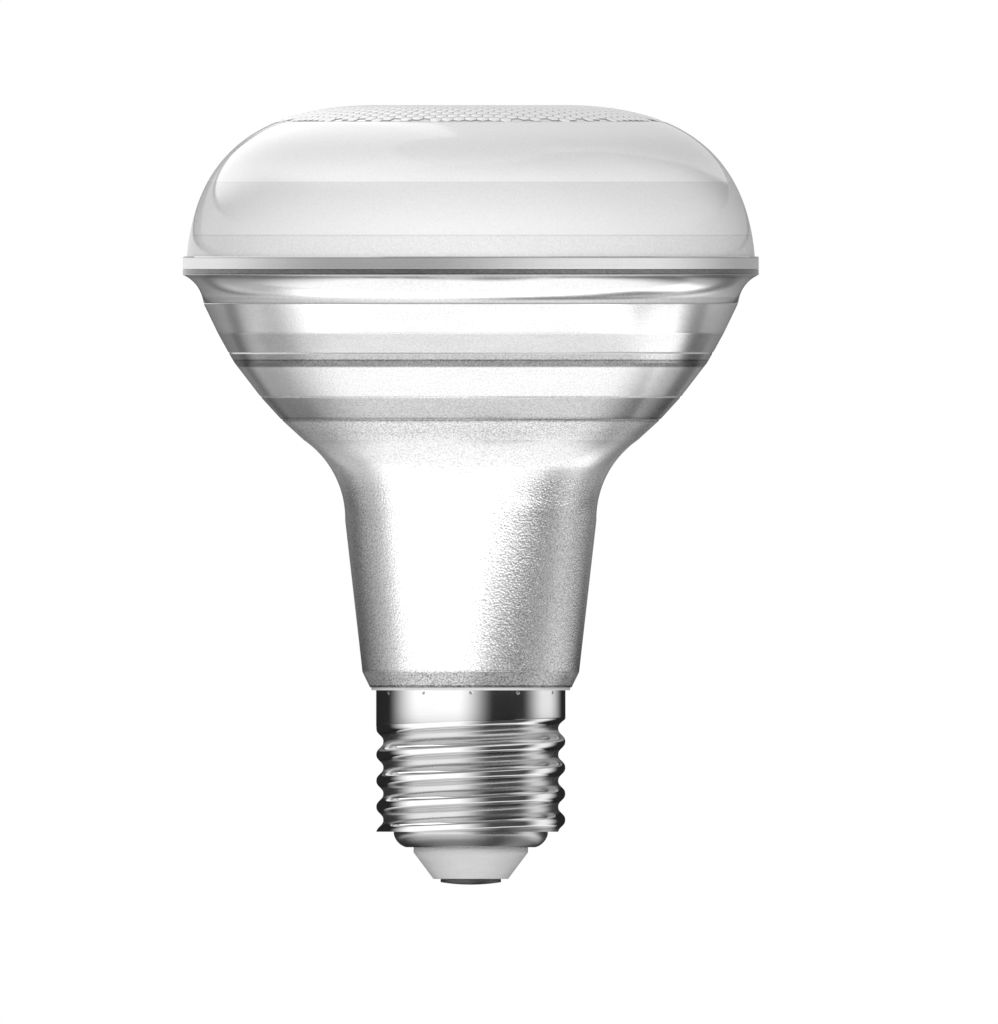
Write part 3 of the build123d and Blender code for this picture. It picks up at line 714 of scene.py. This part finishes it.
def ring_shape(settings):
    """Half section of the ring with its turned lines as shallow vees."""
    ease = 0.12 * MM
    bore = LENS_FOOT_R - 0.7 * MM
    low, high = RING_Z
    first, last = low + 2.5 * ease, high - 1.5 * ease
    outside = [[(bore, low), (RIM_R - ease, low)], [(RIM_R - ease, low), (RIM_R, low + ease)]]
    edges = np.linspace(first, last, 2 * settings.lines + 1)
    line = [(RIM_R, low + ease)]
    line += [(RIM_R - (settings.depth if i % 2 else 0), z) for i, z in enumerate(edges)]
    line.append((RIM_R, high - ease))
    outside += [[a, b] for a, b in zip(line, line[1:])]
    outside += [[(RIM_R, high - ease), (RIM_R - ease, high)], [(RIM_R - ease, high), (bore, high)]]
    return outside + [[(bore, high), (bore, low)]]


# The body's outline as radius and height in millimetres, and which of its edges are grooved
BOWL_EDGES = [(23.2, 61.76), (26.25, 64.54), (29.17, 67.74), (32.80, 72.46), (33.62, 73.85), (35.14, 76.62),
              (37.15, 80.80)]
GROOVED = (1, 2, 4, 6)
NECK_EDGE = (15.05, 29.54)
NECK_TOP = (17.45, 50.6)
NECK_MID = (18.5, 56.0)
FOOT_R = (13.4, 14.0)


def body_shape(settings):
    """Closed section of the body: bevel, neck, fillet, facets with grooves, flare, flange and inner wall.

    Neck and facets are straight, and fillet, flare and waist are arcs. A
    groove is a vee that goes in square to the facet under its edge.
    """
    edges = np.array(BOWL_EDGES) * MM
    g = settings.groove
    vee, neck_wall, flange_bore = 1.4 * g, np.array([1.5 * MM, 0]), 37.4 * MM
    facets = []
    here = edges[0]
    for k in range(1, len(edges)):
        way = (edges[k] - edges[k - 1]) / np.linalg.norm(edges[k] - edges[k - 1])
        out = np.array([way[1], -way[0]])
        if k not in GROOVED:
            facets.append([here, edges[k]])
            here = edges[k]
            continue
        near = edges[k] - way * vee
        bottom = edges[k] - out * g
        facets += [[here, near], [near, bottom]]
        if k + 1 < len(edges):
            onward = (edges[k + 1] - edges[k]) / np.linalg.norm(edges[k + 1] - edges[k])
            here = edges[k] + onward * vee
            facets.append([bottom, here])
        else:
            facets.append([bottom, edges[k]])
    neck_edge, neck_top, neck_mid = (np.array(p) * MM for p in (NECK_EDGE, NECK_TOP, NECK_MID))
    foot = np.array([FOOT_R[1] * MM, BODY_Z])
    bore = np.array([FOOT_R[0] * MM, BODY_Z])
    neck = np.linspace(neck_edge, neck_top, 24)
    fillet = arc(neck_top, edges[0], neck_mid, 28)
    flange_top = RING_Z[0]
    flange = np.array([RIM_R, flange_top - 0.7 * MM])
    middle = edges[-1] + np.array([1.15 * MM, 2.668 * MM])
    flare = arc(edges[-1], flange, middle, 24)
    brim = [flange, (RIM_R, flange_top), (flange_bore, flange_top)]
    inner = edges[::-1] - np.array([settings.wall, 0])
    narrow = neck_top - neck_wall
    waist = arc(inner[-1], narrow, neck_mid - neck_wall, 20)
    stretches = [[bore, foot], [foot, neck_edge], np.vstack([neck, fillet[1:]])] + facets + [flare]
    stretches += [[a, b] for a, b in zip(brim, brim[1:])] + [[brim[-1], inner[0]]]
    stretches += [[a, b] for a, b in zip(inner, inner[1:])] + [waist]
    top = np.array([FOOT_R[0] * MM, BODY_Z + 3.2 * MM])
    return stretches + [[narrow, top], [top, bore]]


def shell_shape(settings):
    """Section of the shell, and how far its thread swells at each angle and height.

    The thread is one cosine a pitch that climbs with the angle, so a level
    cut is nearly a circle set off the axis, less a small third harmonic that
    rounds its crests. Above a slanted edge it gives way to the smooth band,
    and under the shelf to the small bowl.
    """
    low, top = SHELL_Z
    shelf = low + 2.15 * MM
    middle = (settings.crest + settings.root) / 2
    swing = (settings.crest - settings.root) / 2
    sheet = 0.3 * MM
    eye, base, belly = 8.0 * MM, 9.0 * MM, 10.7 * MM
    bowl = arc((base, low), (belly, shelf - 0.35 * MM), (belly - 0.58 * MM, low + 0.7 * MM), 14)
    last_turn, step = 23.3 * MM, 23.4 * MM
    heights = np.append(np.linspace(shelf, last_turn, 150), np.linspace(last_turn, top, 6)[1:])
    thread = np.column_stack([np.full(len(heights), middle), heights])
    bore, band = settings.root - sheet, SKIRT_R - sheet
    under = [
        (middle, top), (band, top), (band, step), (bore, step), (bore, shelf + sheet),
        (belly - sheet, shelf + sheet), (belly - sheet, shelf - sheet),
        (base - 0.1 * MM, low + sheet), (eye, low + sheet), (eye, low),
    ]
    stretches = [[(eye, low), (base, low)], bowl, [bowl[-1], (belly, shelf)]]
    stretches += [[(belly, shelf), (middle, shelf)], thread]
    stretches += [list(pair) for pair in zip(under, under[1:])]
    edge_z, tilt, first_crest, ease = 22.15 * MM, 0.0384, 1.65 * MM, 0.55 * MM

    def radius(a, z, r):
        phase = 2 * pi * (z - shelf - first_crest) / settings.pitch - a
        wave = middle + swing * (1.06 * np.cos(phase) - 0.06 * np.cos(3 * phase))
        edge = edge_z + tilt * SKIRT_R * np.cos(a)
        swept = np.maximum(wave, wave + (SKIRT_R - wave) * smooth((z - edge) / ease))
        return np.where(np.abs(r - middle) < 1e-7, swept, r + 0 * a)

    return stretches, radius


def insulator_shape():
    """Section of the insulator: flat foot, cone, eased shoulder and the lip inside the shell."""
    r = 7.95 * MM
    foot, shoulder = 0.8 * MM, 4.45 * MM
    ease = arc((r - 0.12 * MM, shoulder - 0.12 * MM), (r, shoulder + 0.12 * MM),
               (r - 0.02 * MM, shoulder + 0.01 * MM), 5)
    floor, top, bore = 5.5 * MM, 7.5 * MM, 1.3 * MM
    return [
        [(bore, foot), (5.05 * MM, foot)],
        arc((5.05 * MM, foot), (5.26 * MM, foot + 0.1 * MM), (5.18 * MM, foot + 0.02 * MM), 4),
        [(5.26 * MM, foot + 0.1 * MM), ease[0]],
        ease,
        [ease[-1], (r, floor)],
        [(r, floor), (8.8 * MM, floor)],
        [(8.8 * MM, floor), (8.8 * MM, top)],
        [(8.8 * MM, top), (bore, top)],
        [(bore, top), (bore, foot)],
    ]


def contact_shape():
    """Section of the contact: spherical dome, short edge and shank."""
    edge, top, shank, end = 0.35 * MM, 0.8 * MM, 1.25 * MM, 7.8 * MM
    ball = (CONTACT_R**2 + edge**2) / (2 * edge)
    r = np.linspace(0, CONTACT_R, 16)
    dome = np.column_stack([r, ball - np.sqrt(ball**2 - r**2)])
    return [
        dome,
        [(CONTACT_R, edge), (CONTACT_R, top)],
        [(CONTACT_R, top), (shank, top)],
        [(shank, top), (shank, end)],
        [(shank, end), (0, end)],
    ]


# Studio

def even(low, high, *sides):
    """Rows of a soft box whose sides keep their bearings from a low to a high edge."""
    return [(low, *sides), (high, *sides)]


ALL_ROUND = (-181, -180, 179, 180)

# Soft boxes of the round studio: strength, feather in millimetres, and rows of height,
# start, full, fade and end. A height is up the wall in millimetres, and on the floor it is
# minus the way in from the wall. Bearings are in degrees, with 0 at the camera's side and
# 90 at its right. A box with a strength below 0 dims what the others give.
BOXES = {
    "cap left": (1.15, 4, even(20, 36, -118, -62, -18, 28)),
    "cap right": (0.85, 4, even(20, 36, 62, 98, 105, 145)),
    "neck": (1.5, 5, [(-60, -102, -62, 60, 96), (-44, -102, -62, 54, 88), (-32, -102, -62, 42, 74),
                      (-14, -102, -60, 28, 64), (-3, -100, -58, 14, 56), (3, -98, -56, 0, 44),
                      (12, -92, -52, -15, 27), (22, -88, -48, -20, 24)]),
    "bowl right": (1.2, 4, [(-62, 44, 62, 104, 126), (-44, 66, 78, 106, 126), (-30, 82, 90, 112, 128),
                            (-12, 94, 101, 114, 130), (0, 100, 106, 116, 134)]),
    "neck side": (0.34, 5, [(-66, -150, -105, 66, 118), (-9, -165, -118, 2, 46), (14, -165, -118, -18, 26),
                            (22, -150, -105, -20, 24)]),
    "neck side low": (0.16, 5, [(-8, -165, -118, 2, 46), (14, -165, -118, -18, 26)]),
    "neck right": (0.40, 5, [(-66, 88, 105, 130, 160), (-38, 76, 90, 125, 155), (-10, 78, 92, 125, 155),
                             (1, 72, 88, 120, 155), (5, 60, 72, 108, 140), (9, 46, 60, 90, 126),
                             (22, 46, 60, 90, 126)]),
    "streak": (-1.0, 4, [(-16, 62, 78, 92, 108), (1, 54, 68, 84, 98), (4, 46, 58, 76, 90),
                         (6, 36, 48, 66, 80), (9, 22, 35, 53, 68), (13, 18, 30, 48, 63),
                         (22, 14, 27, 45, 60)]),
    "floor": (1.08, 8, even(-150, -58, -140, -75, 88, 130)),
    "near": (0.06, 6, even(-190, -144, -60, -30, 60, 120)),
    "near left": (0.18, 6, even(-190, -144, -112, -50, -14, 34)),
    "near left edge": (0.35, 4, even(-158, -144, -112, -62, -14, 34)),
    "near right": (0.20, 6, even(-190, -144, 30, 70, 90, 130)),
    "near right edge": (0.35, 4, even(-156, -142, 60, 92, 104, 140)),
    "front": (0.90, 6, even(30, 74, -165, -8, 30, 178)),
    "front edge": (0.12, 6, even(28, 74, *ALL_ROUND)),
    "ring": (0.38, 2, even(77, 100, *ALL_ROUND)),
    "ring left": (0.50, 2, even(77, 100, -205, -150, -118, -48)),
    "ring right": (0.52, 2, even(77, 100, -20, 42, 62, 125)),
    "upper": (0.10, 6, even(98, 700, *ALL_ROUND)),
    "upper left": (0.15, 6, even(128, 700, -118, -62, -18, 28)),
    "upper right": (0.60, 6, even(128, 700, 62, 98, 105, 135)),
    "lens rim": (0.28, 3, even(99, 132, *ALL_ROUND)),
    "lens left low": (0.30, 2, [(102, -133, -129, -127, -104), (112, -143, -139, -127, -104),
                                (130, -158, -154, -127, -104)]),
    "lens left": (1.60, 4, [(132, -158, -154, -138, -122), (150, -168, -164, -132, -106),
                            (200, -174, -169, -126, -88), (260, -175, -170, -95, -20),
                            (700, -175, -170, -60, 10)]),
    "lens back": (0.70, 2, [(128, 147, 150, 195, 200), (134, 142, 145, 195, 200), (160, 133, 136, 195, 200),
                            (235, 119, 122, 195, 200), (580, 96, 99, 195, 200), (700, 92, 95, 195, 200)]),
}

# A low round screen stands near the cap, which sees its own soft boxes on it
SCREEN = {
    "screen left": (1.12, 1, even(-1, 24, -98, -62, -18, 22)),
    "screen right": (0.90, 1, even(-1, 24, 54, 79, 84, 112)),
    "screen": (0.05, 1, even(-1, 24, -60, -20, 50, 90)),
}


def soft_box(heights, bearings, feather, rows):
    """Level of a soft box from 0 to 1 at each height and bearing.

    The four bearings of its sides are read between the rows. It rises from
    start to full and falls from fade to end, and feathers at both heights.
    """
    table = np.array(rows, float)
    start, full, fade, end = (np.interp(heights, table[:, 0], table[:, k]) for k in range(1, 5))
    turn = (bearings - start) % 360
    level = smooth(turn / (full - start)) * smooth((end - start - turn) / (end - fade))
    return level * smooth((heights - table[0, 0]) / feather) * smooth((table[-1, 0] - heights) / feather)


def glowing(name, r, z, heights, boxes, base):
    """Turned surface whose glow comes from soft boxes, seen in gloss only.

    The rows of the profile go round the axis, and the glow at a bearing
    and height is the base tone and the sum of the boxes, dimmed by those
    with a strength below 0.
    """
    r, z, heights = (np.asarray(column, float)[:, None] for column in (r, z, heights))
    bearing = np.linspace(-180, 180, 360, endpoint=False)[None, :]
    glow = np.full((len(r), bearing.size), float(base))
    for strength, feather, sides in sorted(boxes.values(), key=lambda box: -box[0]):
        level = soft_box(heights, bearing, feather, sides)
        glow = glow + strength * level if strength > 0 else glow * (1 + strength * level)
    b = np.radians(bearing)
    vertices = np.stack([r * np.sin(b), -r * np.cos(b), z + 0 * b], axis=-1).reshape(-1, 3)
    piece = fresh(name, vertices, grid_faces(len(r), bearing.size, False).tolist())
    tone = piece.data.attributes.new("glow", "FLOAT", "POINT")
    tone.data.foreach_set("value", 0.5 * glow.ravel().astype(np.float32))
    f = Finish(name)
    colour = f.mix(f.read("ShaderNodeAttribute", "Fac", attribute_name="glow"), grey(0.0), grey(1.0))
    f.set(Base_Color=grey(0.0), Specular_IOR_Level=0.0, Emission_Color=colour, Emission_Strength=2.0)
    piece.data.materials.append(f.material)
    piece.visible_camera = False
    piece.visible_diffuse = False
    piece.visible_shadow = False
    return piece


def studio(radius, height, base):
    """Round floor and wall of the studio, and the low screen round the cap.

    A row of the studio is the way in from the wall, taken as negative, on
    the floor and the height on the wall, with close rows up to the lens.
    """
    close = 0.14
    rows = np.concatenate([
        np.linspace(-radius, 0, 90, endpoint=False),
        np.linspace(0, close, 120, endpoint=False),
        np.linspace(close, height, 80),
    ])
    glowing("studio", np.where(rows < 0, rows + radius, radius), np.where(rows < 0, 0.0, rows) - 0.1 * MM,
            rows / MM, BOXES, base)
    up = np.linspace(0, 22, 12)
    glowing("cap_screen", np.full_like(up, 30 * MM), up * MM, up, SCREEN, base)


def soft_light(power):
    """Large soft lamp in front, which gloss doesn't see."""
    data = bpy.data.lights.new("soft_light", "AREA")
    data.shape, data.size, data.energy = "DISK", 0.9, power
    piece = bpy.data.objects.new("soft_light", data)
    piece.location = (-0.05, -1.2, 0.32)
    piece.rotation_euler = (radians(79), 0, radians(-2.4))
    piece.visible_glossy = False
    piece.visible_camera = False
    bpy.context.scene.collection.objects.link(piece)
    return piece


def floor_disc(radius, tone):
    """Plain pale floor that keeps the shadow and turns white to the camera away from the lamp."""
    sides = 64
    b = np.linspace(0, 2 * pi, sides, endpoint=False)
    rim = np.column_stack([radius * np.cos(b), radius * np.sin(b), 0 * b - 0.2 * MM])
    piece = fresh("floor", rim, [list(range(sides))])
    f = Finish("pale_floor")
    grain = f.noise(40, 3.0)
    colour = f.mix(grain, grey(tone - 0.02), grey(tone + 0.02))
    seen = f.read("ShaderNodeLightPath", "Is Camera Ray")
    glow = f.mix(0.6 * seen * f.radius().rise(0.1 * radius, 0.6 * radius), grey(0.0), grey(1.0))
    f.set(Base_Color=colour, Roughness=0.7 + 0.1 * (grain - 0.5), Specular_IOR_Level=0.0,
          Emission_Color=glow, Emission_Strength=1.0)
    piece.data.materials.append(f.material)
    return piece


def room(fill):
    """White room to the camera and in gloss and glass, and an even fill light otherwise."""
    world = bpy.data.worlds.new("room")
    world.use_nodes = True
    world.node_tree.nodes.clear()
    m = Maker(world.node_tree)
    seen, glossy, clear = (m.read("ShaderNodeLightPath", f"Is {kind} Ray")
                           for kind in ("Camera", "Glossy", "Transmission"))
    dim, white = (m.node("ShaderNodeBackground", {}, {"Color": grey(1.0), "Strength": strength}).outputs[0]
                  for strength in (fill, 1.0))
    blend = m.node("ShaderNodeMixShader", {}, {0: seen.high(glossy).high(clear), 1: dim, 2: white})
    m.node("ShaderNodeOutputWorld", {}, {0: blend.outputs[0]})
    return world


def camera():
    """Level camera without perspective, framed as the photograph."""
    data = bpy.data.cameras.new("camera")
    data.type = "ORTHO"
    data.ortho_scale = max(PHOTO_SIZE) / PIXELS_PER_MM * MM
    data.clip_end = 10.0
    piece = bpy.data.objects.new("camera", data)
    x = (PHOTO_SIZE[0] / 2 - AXIS_PIXEL) / PIXELS_PER_MM * MM
    z = (TIP_PIXEL - PHOTO_SIZE[1] / 2) / PIXELS_PER_MM * MM
    piece.location = (x, -0.8, z)
    piece.rotation_euler = (pi / 2, 0, 0)
    bpy.context.scene.collection.objects.link(piece)
    bpy.context.scene.camera = piece


# Operators

class LAMP_OT_stage(bpy.types.Operator):
    """Sets the room, the floor, the studio, the lamp and the camera"""
    bl_idname = "lamp.stage"
    bl_label = "Stage"

    def execute(self, context):
        settings = context.scene.lamp_stage
        context.scene.view_settings.view_transform = "Standard"
        context.scene.world = room(settings.fill)
        floor_disc(settings.floor_radius, settings.floor_tone)
        studio(settings.studio_radius, settings.studio_height, settings.dark)
        soft_light(settings.power)
        camera()
        return {"FINISHED"}


class LAMP_OT_lens(bpy.types.Operator):
    """Builds the lens and its field of lenslets"""
    bl_idname = "lamp.lens"
    bl_label = "Front lens"

    def execute(self, context):
        settings = context.scene.lamp_lens
        lens = turned("lens_dome", lens_shape(settings))
        dress(lens, frosted_lens(settings), "front_lens")
        cells = lenslets(settings)
        dress(cells, lenslet_finish(), "front_lens")
        return {"FINISHED"}


class LAMP_OT_ring(bpy.types.Operator):
    """Builds the turned ring"""
    bl_idname = "lamp.ring"
    bl_label = "Rim ring"

    def execute(self, context):
        ring = turned("turned_ring", ring_shape(context.scene.lamp_ring))
        dress(ring, turned_ring(), "rim_ring")
        return {"FINISHED"}


class LAMP_OT_body(bpy.types.Operator):
    """Builds the mirror bowl and its neck"""
    bl_idname = "lamp.body"
    bl_label = "Reflector body"

    def execute(self, context):
        settings = context.scene.lamp_body
        body = turned("mirror_body", body_shape(settings))
        dress(body, mirror_coat(settings), "reflector_body")
        return {"FINISHED"}


class LAMP_OT_cap(bpy.types.Operator):
    """Builds the screw shell, the insulator and the contact"""
    bl_idname = "lamp.cap"
    bl_label = "Screw cap"

    def execute(self, context):
        settings = context.scene.lamp_cap
        stretches, radius = shell_shape(settings)
        shell = turned("threaded_shell", stretches, 256, radius)
        dress(shell, cap_plating(settings), "screw_shell")
        cone = turned("insulating_cone", insulator_shape(), 128)
        dress(cone, cap_insulation(), "cap_insulator")
        contact = turned("contact_disc", contact_shape(), 96)
        dress(contact, contact_metal(), "centre_contact")
        return {"FINISHED"}


INNER_FINISHES = {
    "pressed_aluminium": lambda: worked_metal("pressed_aluminium", (0.72, 0.72, 0.73), 0.4),
    "pad_rubber": lambda: moulded("pad_rubber", (0.50, 0.52, 0.55), 0.8, 1800),
    "board_white": lambda: laminate("board_white", (0.86, 0.86, 0.85)),
    "led_carrier": led_carrier,
    "screw_steel": lambda: worked_metal("screw_steel", (0.62, 0.62, 0.62), 0.3, (900, 900, 900)),
    "connector_plastic": lambda: moulded("connector_plastic", (0.82, 0.82, 0.80)),
    "wire_red": lambda: moulded("wire_red", (0.50, 0.05, 0.04), 0.35),
    "wire_black": lambda: moulded("wire_black", (0.05, 0.05, 0.05), 0.35),
    "wire_white": lambda: moulded("wire_white", (0.76, 0.76, 0.74), 0.35),
    "housing_plastic": lambda: moulded("housing_plastic", (0.80, 0.80, 0.78)),
    "board_green": lambda: laminate("board_green", (0.06, 0.24, 0.11)),
    "can_sleeve": lambda: moulded("can_sleeve", (0.09, 0.10, 0.16), 0.25),
    "film_box": lambda: moulded("film_box", (0.66, 0.50, 0.10), 0.35),
    "chip_black": lambda: moulded("chip_black", (0.05, 0.05, 0.05), 0.55, 4000),
    "varistor_coat": lambda: moulded("varistor_coat", (0.06, 0.18, 0.42), 0.3),
    "fuse_coat": lambda: moulded("fuse_coat", (0.50, 0.45, 0.33), 0.7, 1500),
    "ferrite": lambda: moulded("ferrite", (0.12, 0.12, 0.13), 0.6, 3500),
    "bobbin_plastic": lambda: moulded("bobbin_plastic", (0.08, 0.08, 0.08)),
    "winding_copper": wound_copper,
}


class LAMP_OT_inside(bpy.types.Operator):
    """Finishes the pieces inside the lamp"""
    bl_idname = "lamp.inside"
    bl_label = "Driver and light board"

    def execute(self, context):
        made = {}
        for part in frame["record"]["subparts"]:
            slot = part["material_slot"]
            if slot not in INNER_FINISHES:
                continue
            if slot not in made:
                made[slot] = INNER_FINISHES[slot]()
            node = frame["nodes"][part["node"]]
            node.data.materials.clear()
            node.data.materials.append(made[slot])
        return {"FINISHED"}


class LAMP_PT_panel(bpy.types.Panel):
    """Lists the lamp's pieces"""
    bl_label = "Reflector lamp"
    bl_space_type = "VIEW_3D"
    bl_region_type = "UI"
    bl_category = "Lamp"

    def draw(self, context):
        for name, _ in STEPS:
            self.layout.operator("lamp." + name)
        for group in SETTINGS:
            settings = getattr(context.scene, group)
            for key in settings.bl_rna.properties.keys():
                if key not in ("rna_type", "name"):
                    self.layout.prop(settings, key)


STEPS = (
    ("stage", LAMP_OT_stage),
    ("lens", LAMP_OT_lens),
    ("ring", LAMP_OT_ring),
    ("body", LAMP_OT_body),
    ("cap", LAMP_OT_cap),
    ("inside", LAMP_OT_inside),
)
SETTINGS = {
    "lamp_stage": StageSettings,
    "lamp_lens": LensSettings,
    "lamp_ring": RingSettings,
    "lamp_body": BodySettings,
    "lamp_cap": CapSettings,
}


def register():
    """Registers the settings, the operators and the panel."""
    for name, group in SETTINGS.items():
        bpy.utils.register_class(group)
        setattr(bpy.types.Scene, name, PointerProperty(type=group))
    for _, operator in STEPS:
        bpy.utils.register_class(operator)
    bpy.utils.register_class(LAMP_PT_panel)


def unregister():
    """Takes back what register added."""
    bpy.utils.unregister_class(LAMP_PT_panel)
    for _, operator in reversed(STEPS):
        bpy.utils.unregister_class(operator)
    for name, group in SETTINGS.items():
        delattr(bpy.types.Scene, name)
        bpy.utils.unregister_class(group)


def main():
    """Builds the whole lamp."""
    register()
    for name, _ in STEPS:
        getattr(bpy.ops.lamp, name)()


if __name__ == "__main__":
    main()
